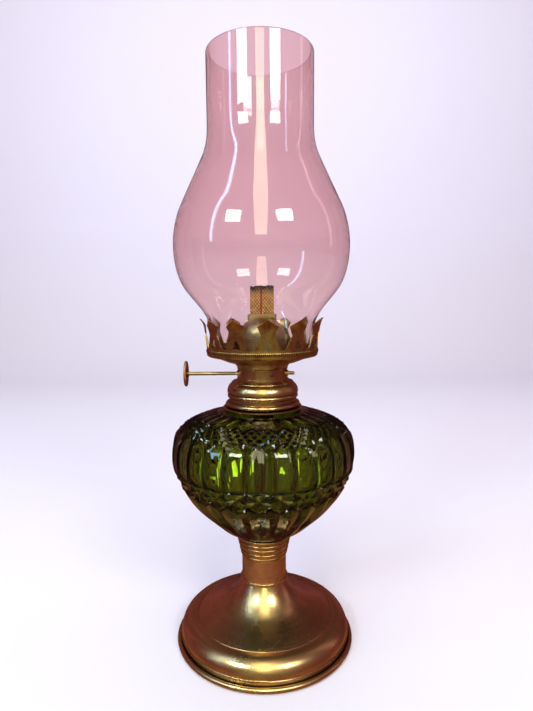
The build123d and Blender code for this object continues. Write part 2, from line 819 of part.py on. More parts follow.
# ---- Chimney: blown glass, bulged round the flame and drawn in to a straight flue ----
chimney_top = plate_top + chimney_height
bulge_level = plate_top + chimney_bulge_height
flue_level = chimney_top - chimney_flue_drop
foot_flare, foot_rise, foot_direction = chimney_foot_turn
lower_stretch = chimney_bulge_height / chimney_drawn_lower
upper_stretch = (flue_level - bulge_level) / chimney_drawn_upper
bulge_inset, bulge_rise, lower_direction, upper_direction = chimney_bulge_turn
neck_swell, neck_drop, neck_direction = chimney_neck_turn
chimney_outline = [
    (chimney_foot_radius, plate_top + chimney_foot_height * lower_stretch, 90),
    (chimney_foot_radius + foot_flare, plate_top + foot_rise * lower_stretch, foot_direction),
    (chimney_bulge_radius - bulge_inset, bulge_level - bulge_rise * lower_stretch, lower_direction),
    (chimney_bulge_radius, bulge_level, 90),
    (chimney_bulge_radius - bulge_inset, bulge_level + bulge_rise * upper_stretch, upper_direction),
    (chimney_flue_radius + neck_swell, flue_level - neck_drop * upper_stretch, neck_direction),
    (chimney_flue_radius, flue_level, 90),
]

with BuildPart() as chimney:
    with BuildSketch(Plane.XZ):
        with BuildLine():
            outside = [glass_side(*place, 0) for place in chimney_outline]
            inside = [glass_side(*place, chimney_wall) for place in chimney_outline]
            slants = [(cos(radians(place[2])), sin(radians(place[2]))) for place in chimney_outline]
            bore = chimney_foot_radius - chimney_wall
            flue_bore = chimney_flue_radius - chimney_wall
            Polyline(inside[0], (bore, plate_top), (chimney_foot_radius, plate_top), outside[0])
            Spline(*outside, tangents=slants)
            Polyline(outside[-1], (chimney_flue_radius, chimney_top), (flue_bore, chimney_top), inside[-1])
            Spline(*inside, tangents=slants)
        make_face()
    revolve(axis=Axis.Z)
    fillet(chimney.edges().group_by(Axis.Z)[-1], chimney_edge)
chimney.part.label = "chimney"
export_step(chimney.part, "parts/chimney.step")
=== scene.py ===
import math
import random

import bmesh
import bpy
import numpy as np
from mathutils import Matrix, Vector


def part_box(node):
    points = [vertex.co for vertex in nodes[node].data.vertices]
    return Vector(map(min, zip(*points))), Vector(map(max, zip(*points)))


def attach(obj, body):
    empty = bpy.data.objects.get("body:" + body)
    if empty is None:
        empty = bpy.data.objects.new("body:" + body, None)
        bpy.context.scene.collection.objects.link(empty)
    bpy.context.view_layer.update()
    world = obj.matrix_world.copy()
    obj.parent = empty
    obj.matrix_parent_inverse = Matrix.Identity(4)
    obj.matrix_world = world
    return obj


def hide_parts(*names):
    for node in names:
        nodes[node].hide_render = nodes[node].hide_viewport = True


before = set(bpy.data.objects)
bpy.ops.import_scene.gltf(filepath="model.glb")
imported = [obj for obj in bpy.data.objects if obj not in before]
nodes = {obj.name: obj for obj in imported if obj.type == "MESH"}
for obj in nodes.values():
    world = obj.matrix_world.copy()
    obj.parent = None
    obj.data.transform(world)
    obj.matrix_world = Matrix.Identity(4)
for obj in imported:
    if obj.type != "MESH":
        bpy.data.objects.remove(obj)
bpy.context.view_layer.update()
scene = bpy.context.scene
scene.view_settings.view_transform = "Standard"
mm = 0.001


# node helpers
def addNode(tree, kind, inputs=None, **settings):
    node = tree.nodes.new(kind)
    for name, value in settings.items():
        setattr(node, name, value)
    for name, value in (inputs or {}).items():
        feed(tree, node.inputs[name], value)
    return node


def feed(tree, socket, value):
    # link another socket, or set a constant
    if isinstance(value, bpy.types.NodeSocket):
        tree.links.new(value, socket)
    else:
        socket.default_value = value


def objectPlace(tree):
    return addNode(tree, "ShaderNodeTexCoord").outputs["Object"]


def addNoise(tree, place, scale, detail, roughness=0.5, distortion=0.0):
    inputs = {"Vector": place, "Scale": scale, "Detail": detail, "Roughness": roughness, "Distortion": distortion}
    return addNode(tree, "ShaderNodeTexNoise", inputs).outputs["Fac"]


def addBump(tree, shader, strength, distance, height):
    bump = addNode(tree, "ShaderNodeBump", {"Strength": strength, "Distance": distance, "Height": height})
    tree.links.new(bump.outputs[0], shader.inputs["Normal"])


def addMath(tree, operation, first, second=0.0, clamp=False):
    return addNode(tree, "ShaderNodeMath", {0: first, 1: second}, operation=operation, use_clamp=clamp).outputs[0]


def addScaled(tree, base, value, share, clamp=False):
    # base plus a share of value
    return addMath(tree, "ADD", base, addMath(tree, "MULTIPLY", value, share), clamp)


def addRamp(tree, value, low, high):
    return addNode(tree, "ShaderNodeMapRange", {"Value": value, "From Min": low, "From Max": high}).outputs["Result"]


def addMix(tree, factor, first, second, blend="MIX"):
    node = addNode(tree, "ShaderNodeMix", {"Factor": factor}, data_type="RGBA", blend_type=blend)
    for index, value in ((6, first), (7, second)):  # the colour sockets A and B
        feed(tree, node.inputs[index], value if isinstance(value, bpy.types.NodeSocket) else (*value, 1.0))
    return node.outputs[2]


def newGroup(name, inputs, outputs):
    group = bpy.data.node_groups.new(name, "ShaderNodeTree")
    for socketName, kind, value in inputs:
        socket = group.interface.new_socket(socketName, in_out="INPUT", socket_type="NodeSocket" + kind)
        socket.default_value = value
    for socketName, kind in outputs:
        group.interface.new_socket(socketName, in_out="OUTPUT", socket_type="NodeSocket" + kind)
    entry = group.nodes.new("NodeGroupInput")
    leave = group.nodes.new("NodeGroupOutput")
    return group, entry.outputs, leave.inputs


def newMaterial(name):
    material = bpy.data.materials.new(name)
    material.use_nodes = True
    tree = material.node_tree
    return material, tree, tree.nodes["Principled BSDF"]


def useGroup(tree, group, inputs):
    node = addNode(tree, "ShaderNodeGroup", node_tree=group)
    for name, value in inputs.items():
        feed(tree, node.inputs[name], value)
    return node.outputs


def addToScene(name, data):
    thing = bpy.data.objects.new(name, data)
    scene.collection.objects.link(thing)
    return thing


def flatLength(tree, parts):
    # distance from the upright axis
    squares = [addMath(tree, "MULTIPLY", parts[index], parts[index]) for index in (0, 1)]
    return addMath(tree, "SQRT", addMath(tree, "ADD", *squares))


# shared effects
def makeSpunMarks():
    # fine lines that run round the lamp's axis, as a lathe or spinning tool leaves them
    group, given, out = newGroup(
        "spunMarks", [("Line Scale", "Float", 900.0)], [("Height", "Float"), ("Streak", "Float")]
    )
    place = objectPlace(group)
    parts = addNode(group, "ShaderNodeSeparateXYZ", {0: place}).outputs
    radius = flatLength(group, parts)
    angle = addMath(group, "ARCTAN2", parts[1], parts[0])
    drawnOut = addMath(group, "MULTIPLY", angle, 0.0012)
    line = addNode(group, "ShaderNodeCombineXYZ", {0: radius, 1: parts[2], 2: drawnOut}).outputs[0]
    fine = addNoise(group, line, given["Line Scale"], 4.0, roughness=0.7)
    broad = addNoise(group, line, 140.0, 2.0)
    group.links.new(fine, out["Height"])
    group.links.new(addRamp(group, broad, 0.35, 0.68), out["Streak"])
    return group


def makeTarnish():
    # clean metal, a thin brown film in clouds, and small dark specks
    group, given, out = newGroup(
        "tarnish",
        [
            ("Clean", "Color", (0.7, 0.5, 0.25, 1)),
            ("Film", "Color", (0.4, 0.22, 0.1, 1)),
            ("Speck", "Color", (0.1, 0.06, 0.03, 1)),
            ("Cloud Scale", "Float", 30.0),
            ("Film Amount", "Float", 0.5),
            ("Speck Amount", "Float", 0.5),
        ],
        [("Color", "Color"), ("Film Mask", "Float"), ("Speck Mask", "Float")],
    )
    place = objectPlace(group)
    cloud = addNoise(group, place, given["Cloud Scale"], 7.0, roughness=0.62, distortion=0.6)
    film = addMath(group, "MULTIPLY", addRamp(group, cloud, 0.38, 0.66), given["Film Amount"], clamp=True)
    grain = addNoise(group, place, 620.0, 3.0, roughness=0.6)
    patch = addNoise(group, place, 46.0, 3.0)
    speck = addMath(group, "MULTIPLY", addRamp(group, grain, 0.62, 0.7), addRamp(group, patch, 0.45, 0.7))
    speck = addMath(group, "MULTIPLY", speck, given["Speck Amount"], clamp=True)
    filmed = addMix(group, film, given["Clean"], given["Film"])
    group.links.new(addMix(group, speck, filmed, given["Speck"]), out["Color"])
    group.links.new(film, out["Film Mask"])
    group.links.new(speck, out["Speck Mask"])
    return group


def makeEdgeGleam():
    # raised and cut edges rubbed clean of tarnish, with a painted edge highlight brighter than clean brass
    group, given, out = newGroup("edgeGleam", [("Reach", "Float", 0.0003)], [("Edge", "Float")])
    rounded = addNode(group, "ShaderNodeBevel", {"Radius": given["Reach"]}, samples=6).outputs[0]
    flat = addNode(group, "ShaderNodeNewGeometry").outputs["Normal"]
    turned = addNode(group, "ShaderNodeVectorMath", {0: rounded, 1: flat}, operation="DOT_PRODUCT").outputs["Value"]
    place = objectPlace(group)
    rub = addNoise(group, place, 130.0, 4.0)
    edge = addRamp(group, addMath(group, "SUBTRACT", 1.0, turned), 0.02, 0.2)
    group.links.new(addMath(group, "MULTIPLY", edge, addRamp(group, rub, 0.3, 0.55)), out["Edge"])
    return group


def makeHollows():
    # painted shade in creases and grooves, taken from an ambient occlusion mask
    group, given, out = newGroup("hollows", [("Reach", "Float", 0.004)], [("Hollow", "Float")])
    sky = addNode(group, "ShaderNodeAmbientOcclusion", {"Distance": given["Reach"]}, samples=6, only_local=True)
    opening = sky.outputs["AO"]
    group.links.new(addMath(group, "SUBTRACT", 1.0, addRamp(group, opening, 0.3, 0.85)), out["Hollow"])
    return group


def makeRipple():
    # slow waves in hand-worked glass
    group, given, out = newGroup(
        "glassRipple", [("Wave Scale", "Float", 25.0), ("Stretch", "Float", 0.5)], [("Height", "Float")]
    )
    place = objectPlace(group)
    scale = addNode(group, "ShaderNodeCombineXYZ", {0: 1.0, 1: 1.0, 2: given["Stretch"]}).outputs[0]
    drawn = addNode(group, "ShaderNodeVectorMath", {0: place, 1: scale}, operation="MULTIPLY").outputs[0]
    wave = addNoise(group, drawn, given["Wave Scale"], 1.5)
    group.links.new(wave, out["Height"])
    return group


spunMarks = makeSpunMarks()
tarnish = makeTarnish()
edgeGleam = makeEdgeGleam()
hollows = makeHollows()
glassRipple = makeRipple()
print("shared effects built")


# finishes
# edges get a painted highlight brighter than clean brass; grooves and creases get a painted shade darker than the
# film
metalShares = {
    "edgeReach": 0.25 * mm, "creaseReach": 3.0 * mm, "bright": 1.25, "dark": 0.12, "paintedShade": 0.92, "speckDip": -0.5,
    "filmRough": 0.14, "streakRough": 0.07, "speckRough": 0.3, "edgeRough": -0.08,
}


def makeBrass(name, look):
    material, tree, shader = newMaterial(name)
    skin = useGroup(tree, tarnish, {
        "Clean": (*look["clean"], 1), "Film": (*look["film"], 1), "Speck": (*look["speck"], 1),
        "Cloud Scale": look["cloudScale"], "Film Amount": look["filmAmount"], "Speck Amount": look["speckAmount"],
    })
    edge = useGroup(tree, edgeGleam, {"Reach": metalShares["edgeReach"]})
    marks = useGroup(tree, spunMarks, {"Line Scale": look["lineScale"]})
    # painted edge highlight colour, brighter than clean brass
    bright = tuple(min(1.0, channel * metalShares["bright"]) for channel in look["clean"])
    # painted shade colour for grooves and creases
    dark = tuple(channel * metalShares["dark"] for channel in look["film"])
    pit = addNode(tree, "ShaderNodeAttribute", attribute_name="hollow").outputs["Fac"]
    crease = useGroup(tree, hollows, {"Reach": metalShares["creaseReach"]})["Hollow"]
    # edges rubbed clean and lifted further into a painted highlight
    colour = addMix(tree, addMath(tree, "MULTIPLY", edge["Edge"], look.get("gleam", 0.6)), skin["Color"], bright)
    # grooves and creases darkened toward that colour: painted shade
    paintedShade = addMath(tree, "MULTIPLY", addMath(tree, "MAXIMUM", pit, crease), metalShares["paintedShade"])
    colour = addMix(tree, paintedShade, colour, dark)
    tree.links.new(colour, shader.inputs["Base Color"])
    shader.inputs["Metallic"].default_value = 1.0
    rough = addScaled(tree, look["roughness"], skin["Film Mask"], metalShares["filmRough"])
    rough = addScaled(tree, rough, marks["Streak"], metalShares["streakRough"])
    rough = addScaled(tree, rough, skin["Speck Mask"], metalShares["speckRough"])
    rough = addScaled(tree, rough, edge["Edge"], metalShares["edgeRough"], clamp=True)
    tree.links.new(rough, shader.inputs["Roughness"])
    height = addScaled(tree, marks["Height"], skin["Speck Mask"], metalShares["speckDip"])
    addBump(tree, shader, look["bump"], 0.00012, height)
    return material


brassLooks = {
    "footBrass": {
        "clean": (0.72, 0.54, 0.24), "film": (0.46, 0.24, 0.12), "speck": (0.14, 0.08, 0.05), "cloudScale": 24.0,
        "filmAmount": 0.8, "speckAmount": 0.7, "lineScale": 1400.0, "roughness": 0.2, "bump": 0.35,
    },
    "stemBrass": {
        "clean": (0.62, 0.30, 0.13), "film": (0.36, 0.15, 0.08), "speck": (0.12, 0.06, 0.04), "cloudScale": 90.0,
        "filmAmount": 0.95, "speckAmount": 0.8, "lineScale": 1100.0, "roughness": 0.5, "bump": 0.8,
    },
    "burnerBrass": {
        "clean": (0.62, 0.44, 0.20), "film": (0.36, 0.18, 0.08), "speck": (0.10, 0.06, 0.03), "cloudScale": 70.0,
        "filmAmount": 0.7, "speckAmount": 0.6, "lineScale": 1600.0, "roughness": 0.22, "bump": 0.4,
    },
    "prongBrass": {
        "clean": (0.60, 0.45, 0.15), "film": (0.22, 0.09, 0.035), "speck": (0.05, 0.03, 0.015), "cloudScale": 110.0,
        "filmAmount": 0.95, "speckAmount": 0.9, "lineScale": 1200.0, "roughness": 0.24, "bump": 0.5,
    },
    "domeBrass": {
        "clean": (0.64, 0.52, 0.24), "film": (0.36, 0.27, 0.11), "speck": (0.10, 0.08, 0.05), "cloudScale": 110.0,
        "gleam": 0.3, "filmAmount": 0.8, "speckAmount": 0.7, "lineScale": 1500.0, "roughness": 0.34, "bump": 0.6,
    },
    "knobBrass": {
        "clean": (0.46, 0.25, 0.14), "film": (0.20, 0.08, 0.05), "speck": (0.06, 0.03, 0.02), "cloudScale": 120.0,
        "filmAmount": 0.9, "speckAmount": 0.8, "lineScale": 1300.0, "roughness": 0.3, "bump": 0.7,
    },
    "shaftBrass": {
        "clean": (0.66, 0.52, 0.24), "film": (0.36, 0.22, 0.10), "speck": (0.08, 0.05, 0.03), "cloudScale": 120.0,
        "filmAmount": 0.6, "speckAmount": 0.6, "lineScale": 1500.0, "roughness": 0.24, "bump": 0.5,
    },
    "platedSteel": {
        "clean": (0.62, 0.62, 0.60), "film": (0.42, 0.40, 0.36), "speck": (0.25, 0.15, 0.08), "cloudScale": 90.0,
        "filmAmount": 0.6, "speckAmount": 0.5, "lineScale": 1400.0, "roughness": 0.35, "bump": 0.5,
    },
}
brasses = {name: makeBrass(name, look) for name, look in brassLooks.items()}


def makeGlass(name, look):
    material, tree, shader = newMaterial(name)
    place = objectPlace(tree)
    level = addNode(tree, "ShaderNodeSeparateXYZ", {0: place}).outputs[2]
    # colour graded by height, footTint below and tint above; on the chimney this rose is partly a painted reflection
    # of the rose room, and its fade to near clear at the foot is painted
    tint = addMix(tree, addRamp(tree, level, *look["fade"]), look["footTint"], look["tint"])
    tree.links.new(tint, shader.inputs["Base Color"])
    shader.inputs["Metallic"].default_value = 0.0
    shader.inputs["Roughness"].default_value = look["roughness"]
    shader.inputs["IOR"].default_value = look["ior"]
    shader.inputs["Transmission Weight"].default_value = 1.0
    shader.inputs["Specular IOR Level"].default_value = look["specular"]
    ripple = useGroup(tree, glassRipple, {"Wave Scale": look["waveScale"], "Stretch": look["stretch"]})
    addBump(tree, shader, look["bump"], 0.001, ripple["Height"])
    if look["density"]:
        inputs = {"Color": (*look["depthColour"], 1), "Density": look["density"]}
        absorb = addNode(tree, "ShaderNodeVolumeAbsorption", inputs)
        tree.links.new(absorb.outputs[0], tree.nodes["Material Output"].inputs["Volume"])
    return material


fontGlassLook = {
    "tint": (0.90, 0.92, 0.42), "footTint": (0.90, 0.92, 0.42), "fade": (0.0, 0.1),
    "roughness": 0.01, "ior": 1.5, "specular": 0.6, "waveScale": 230.0, "stretch": 0.12, "bump": 0.12,
    "density": 620.0, "depthColour": (0.34, 0.46, 0.0),
}
# the rose tint is partly the glass's own colour and partly a painted reflection of the rose room; its fade to near
# clear at the foot is painted
chimneyGlassLook = {
    "tint": (0.94, 0.83, 0.83), "footTint": (0.99, 0.97, 0.965), "fade": (0.222, 0.285),
    "roughness": 0.0, "ior": 1.46, "specular": 0.28, "waveScale": 22.0, "stretch": 0.35, "bump": 0.35,
    "density": 0.0,
}
fontGlassFinish = makeGlass("greenGlass", fontGlassLook)
chimneyGlassFinish = makeGlass("roseGlass", chimneyGlassLook)


def makePowder(name, look):
    # plaster, cork, cast iron: a dull mottled solid
    material, tree, shader = newMaterial(name)
    place = objectPlace(tree)
    cloud = addNoise(tree, place, look["cloudScale"], 6.0)
    grain = addNoise(tree, place, look["grainScale"], 5.0)
    colour = addMix(tree, addRamp(tree, cloud, 0.35, 0.65), look["pale"], look["dark"])
    colour = addMix(tree, addRamp(tree, grain, 0.58, 0.66), colour, look["spot"])
    tree.links.new(colour, shader.inputs["Base Color"])
    tree.links.new(addScaled(tree, look["roughness"], grain, 0.2, clamp=True), shader.inputs["Roughness"])
    addBump(tree, shader, 0.8, look["depth"], grain)
    return material


powderLooks = {
    "plaster": {
        "pale": (0.78, 0.74, 0.66), "dark": (0.62, 0.56, 0.46), "spot": (0.4, 0.35, 0.28),
        "cloudScale": 60, "grainScale": 700, "roughness": 0.8, "depth": 0.0002,
    },
    "cork": {
        "pale": (0.52, 0.34, 0.19), "dark": (0.38, 0.23, 0.12), "spot": (0.16, 0.09, 0.05),
        "cloudScale": 300, "grainScale": 900, "roughness": 0.75, "depth": 0.0002,
    },
    "castIron": {
        "pale": (0.10, 0.095, 0.09), "dark": (0.06, 0.055, 0.05), "spot": (0.2, 0.09, 0.04),
        "cloudScale": 50, "grainScale": 500, "roughness": 0.6, "depth": 0.0003,
    },
}
powders = {name: makePowder(name, look) for name, look in powderLooks.items()}
print("finishes built")


def coat(node, material):
    for index in range(len(node.data.materials)):
        node.data.materials[index] = material
    if not node.data.materials:
        node.data.materials.append(material)


cadFinish = {
    "footBrass": ("foot_shell", "stem_ring", "stem_ferrule"),
    "stemBrass": ("stem_tube",),
    "burnerBrass": (
        "font_cup", "font_collar", "burner_skirt", "burner_neck", "burner_floor", "wick_tube", "vent_tube",
        "ratchet_box", "shaft_bushes", "air_plate",
    ),
    "shaftBrass": ("wick_shaft", "spur_wheels"),
    "knobBrass": ("wick_knob",),
    "prongBrass": ("gallery",),
    "domeBrass": ("flame_dome",),
    "platedSteel": ("tie_rod", "tie_nuts", "tie_washers"),
    "plaster": ("cup_cement", "collar_cement"),
    "cork": ("collar_gasket",),
    "castIron": ("ballast_plate",),
    "roseGlass": ("chimney",),
}
finishes = {**brasses, **powders, "roseGlass": chimneyGlassFinish}
for finishName, nodeNames in cadFinish.items():
    for nodeName in nodeNames:
        coat(nodes[nodeName], finishes[finishName])


# mesh helpers
def newPiece(name, vertices, faces, material, body, sharpAngle=30.0):
    mesh = bpy.data.meshes.new(name)
    mesh.from_pydata([tuple(vertex) for vertex in vertices], [], faces)
    mesh.materials.append(material)
    piece = addToScene(name, mesh)
    shaped = bmesh.new()
    shaped.from_mesh(mesh)
    bmesh.ops.recalc_face_normals(shaped, faces=shaped.faces)
    shaped.to_mesh(mesh)
    shaped.free()
    mesh.shade_smooth()
    mesh.set_sharp_from_angle(angle=math.radians(sharpAngle))
    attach(piece, body)
    return piece


def setHollow(piece, values):
    # how deep in a groove each point lies, read by the metal's colour as painted shade
    attribute = piece.data.attributes.new("hollow", "FLOAT", "POINT")
    attribute.data.foreach_set("value", np.asarray(values, dtype=np.float32))


def ringFaces(rows, columns, closedLoop):
    # quads between rows of points that each go right round the axis
    faces = []
    lastRow = rows if closedLoop else rows - 1
    for row in range(lastRow):
        nextRow = (row + 1) % rows
        for column in range(columns):
            turn = (column + 1) % columns
            corners = ((row, column), (row, turn), (nextRow, turn), (nextRow, column))
            faces.append(tuple(line * columns + place for line, place in corners))
    return faces


def turnRows(rows, angles):
    # each (radius, height) row carried round the upright axis
    layers = [np.stack([r * np.cos(angles), r * np.sin(angles), z + 0 * angles], axis=-1) for r, z in rows]
    return np.vstack(layers)


def outlineOf(nodeName, pivot, lowAngle, highAngle, count):
    # the outer outline of a turned CAD node, found by looking inwards at a point of its half section
    found = []
    for angle in np.linspace(lowAngle, highAngle, count):
        inward = Vector((-math.cos(angle), 0, -math.sin(angle)))
        spot = nodes[nodeName].ray_cast(pivot - inward * 0.2, inward)[1]
        found.append((spot.x, spot.z))
    return np.array(found)


# font: pressed glass with flutes, lattice and pyramids
fontCut = {
    "count": 27, "ridgeAngle": 4.0, "columnsEach": 16, "wall": 4.0 * mm,
    "bandEnd": 6.0 * mm, "petalEnd": 21.0 * mm, "petalRise": 5.0 * mm, "petalDepth": 1.0 * mm,
    "petalFade": 2.5 * mm, "latticeRow": 7.2 * mm, "latticeDepth": 1.5 * mm,
    "archFoot": 38.6 * mm, "archTop": 31.4 * mm,
    "fluteEnd": 62.6 * mm, "fluteDepth": 1.4 * mm, "fluteCove": 2.4 * mm, "fluteShare": 0.96, "fluteFlatness": 5,
    "zigzagEnds": (62.6 * mm, 68.0 * mm, 74.0 * mm, 79.4 * mm), "zigzagDepth": 2.0 * mm,
    "panelEnd": 0.975, "panelTaper": 0.12, "panelDepth": 1.5 * mm, "panelFloor": 0.1 * mm,
    "cupTuck": 1.6 * mm, "seatGap": 0.2 * mm, "axisGap": 0.2 * mm, "neckBore": 17.2 * mm, "neckRadius": 20.2 * mm,
    "neckStart": 3.5 * mm, "insideStart": 4.0 * mm, "neckStep": 0.6 * mm, "floorRadius": 9.5 * mm,
    "floorRise": 0.3 * mm, "peg": ((16.4 * mm, 5.5 * mm), (13.2 * mm, 0.0), (4.0 * mm, 0.0)),
}


def fontDepth(turns, travel, length):
    # how far the mould cuts in at a place: turns counts flute ridges, travel runs down the outline from the neck
    cut = fontCut
    ridge = np.abs(2 * (turns - np.floor(turns)) - 1)
    archLine = cut["archTop"] + (cut["archFoot"] - cut["archTop"]) * ridge
    petalLine = cut["petalEnd"] - cut["petalRise"] * ridge
    petal = (travel > cut["bandEnd"]) & (travel <= petalLine)
    fadeIn = np.clip((travel - cut["bandEnd"]) / cut["petalFade"], 0, 1)
    depth = np.where(petal, cut["petalDepth"] * (0.25 + 0.75 * ridge ** 1.5) * fadeIn, 0.0)
    row = (cut["archFoot"] - travel) / cut["latticeRow"]
    alongA = 2 * turns + row
    alongB = 2 * turns - row
    nearest = np.minimum(np.abs(alongA - np.round(alongA)), np.abs(alongB - np.round(alongB)))
    lattice = (travel > petalLine) & (travel <= archLine)
    depth = np.where(lattice, cut["latticeDepth"] * (1 - 2 * nearest), depth)
    flute = (travel > archLine) & (travel <= cut["fluteEnd"])
    coveTop = np.clip((travel - archLine) / cut["fluteCove"], 0, 1)
    coveEnd = np.clip((cut["fluteEnd"] - travel) / cut["fluteCove"], 0, 1)
    hollow = cut["fluteDepth"] * (1 - np.clip(ridge / cut["fluteShare"], 0, 1) ** cut["fluteFlatness"])
    cove = np.sqrt(coveTop * (2 - coveTop)) * np.sqrt(coveEnd * (2 - coveEnd))
    depth = np.where(flute, hollow * cove, depth)
    step = np.interp(travel, cut["zigzagEnds"], (0.0, 0.5, 1.0, 1.5))
    zigA = turns + step
    zigB = turns - step
    nearest = np.minimum(np.abs(zigA - np.round(zigA)), np.abs(zigB - np.round(zigB)))
    panelLine = 1.0 + 0.5 * (1 - ridge)
    zigzag = (travel > cut["fluteEnd"]) & (step < panelLine)
    depth = np.where(zigzag, cut["zigzagDepth"] * (1 - 2 * nearest), depth)
    panel = (travel > cut["fluteEnd"]) & (step >= panelLine)
    taper = np.clip((cut["panelEnd"] - travel / length) / cut["panelTaper"], 0, 1)
    facet = cut["panelDepth"] * (0.1 + 0.9 * (1 - ridge))
    return np.where(panel, facet * taper + (1 - taper) * cut["panelFloor"], depth)


def makeFont():
    cut = fontCut
    low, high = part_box("font")
    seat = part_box("font_collar")[0].z
    pivot = Vector((0.4 * high.x, 0, low.z + 0.52 * (high.z - low.z)))
    outline = outlineOf("font", pivot, math.radians(-84), math.radians(96), 900)
    outline = outline[(outline[:, 1] < seat - cut["seatGap"])][::-1]
    steps = np.hypot(np.diff(outline[:, 0]), np.diff(outline[:, 1]))
    travel = np.concatenate([[0], np.cumsum(steps)])
    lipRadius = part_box("font_cup")[1].x
    keep = ~((outline[:, 1] < pivot.z) & (outline[:, 0] < lipRadius - cut["cupTuck"]))
    outline, travel = outline[keep], travel[keep]
    length = travel[-1]
    zig = [end / length for end in cut["zigzagEnds"]]
    petalTop, petalFoot = (cut["petalEnd"] - cut["petalRise"]) / length, cut["petalEnd"] / length
    band, archTop, archFoot, fluteEnd = (cut[key] / length for key in ("bandEnd", "archTop", "archFoot", "fluteEnd"))
    spans = [(0, band, 3), (band, petalTop, 12), (petalTop, petalFoot, 12), (petalFoot, archTop, 18)]
    spans += [(archTop, archFoot, 18), (archFoot, archFoot + 0.03, 6), (archFoot + 0.03, fluteEnd - 0.03, 14)]
    spans += [(fluteEnd - 0.03, fluteEnd, 8), (zig[0], zig[1], 8), (zig[1], zig[2], 8), (zig[2], zig[3], 8)]
    spans += [(zig[3], cut["panelEnd"], 26), (cut["panelEnd"], 1.0, 3)]
    shares = np.concatenate([np.linspace(a, b, count, endpoint=False) for a, b, count in spans] + [[1.0]])
    radii = np.interp(shares * length, travel, outline[:, 0])
    levels = np.interp(shares * length, travel, outline[:, 1])
    slopeR = np.gradient(radii, shares)
    slopeZ = np.gradient(levels, shares)
    size = np.hypot(slopeR, slopeZ)
    normalR, normalZ = -slopeZ / size, slopeR / size  # points out of the glass
    columns = cut["count"] * cut["columnsEach"]
    angles = math.radians(cut["ridgeAngle"] - 90) + np.arange(columns) * 2 * math.pi / columns
    turns = np.arange(columns) / cut["columnsEach"]
    turnGrid, shareGrid = np.meshgrid(turns, shares)
    depth = fontDepth(turnGrid, shareGrid * length, length)
    radiusGrid = radii[:, None] - normalR[:, None] * depth
    levelGrid = levels[:, None] - normalZ[:, None] * depth
    # the plain rest of the vessel: peg, inside wall, neck
    insideRadii = radii - normalR * cut["wall"]
    insideLevels = levels - normalZ * cut["wall"]
    usable = (insideRadii > cut["neckBore"]) & (insideLevels < seat - cut["insideStart"])
    inside = list(zip(insideRadii[usable][::-1][::2], insideLevels[usable][::-1][::2]))
    peg = [(r, low.z + z) for r, z in (*cut["peg"], (cut["axisGap"], 0.0))]
    under = nodes["font"].ray_cast(Vector((0.0005, 0, pivot.z)), Vector((0, 0, -1)))[1]
    floor = [(cut["axisGap"], under.z), (cut["floorRadius"], under.z + cut["floorRise"])]
    neck = [(cut["neckBore"], seat - cut["neckStart"]), (cut["neckBore"], high.z), (cut["neckRadius"], high.z)]
    neck += [(cut["neckRadius"], seat + cut["neckStep"]), (radii[0], seat)]
    plain = np.array(peg + floor + inside + neck)[:, :, None] * np.ones(columns)
    allR = np.vstack([radiusGrid, plain[:, 0]])
    allZ = np.vstack([levelGrid, plain[:, 1]])
    vertices = np.stack([allR * np.cos(angles), allR * np.sin(angles), allZ], axis=-1).reshape(-1, 3)
    faces = ringFaces(allR.shape[0], columns, True)
    piece = newPiece("fontVessel", vertices, faces, fontGlassFinish, "lamp", 12.0)
    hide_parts("font")


makeFont()
print("font built")


# wick: a flat cotton braid, charred at its top
wickLook = {
    "stitchWide": 1.95 * mm, "stitchTall": 2.3 * mm, "relief": 0.62 * mm, "columnSteps": 8, "rowStep": 0.13 * mm,
    "hiddenStep": 1.0 * mm, "shown": 22.0 * mm, "seed": 5, "roundedShare": 0.6, "edgeSteps": 8, "yarnSharp": 1.3,
    "yarnMiddle": 0.6, "laneDip": 0.5, "fray": 1.5 * mm, "frayReach": 2.5 * mm, "pinch": 0.25, "waver": 0.2 * mm,
    "waverRate": 1.9,
    # the dark colour paints shade into the stitch gaps and also darkens random patches of cotton
    "cotton": (1.0, 0.60, 0.16), "shadeAndStain": (0.06, 0.015, 0.003), "char": (0.012, 0.009, 0.008), "charTop": 4.4 * mm,
    "tracer": (0.55, 0.04, 0.02), "tracerPlace": -0.5 * mm, "tracerReach": (0.4 * mm, 0.65 * mm),
}


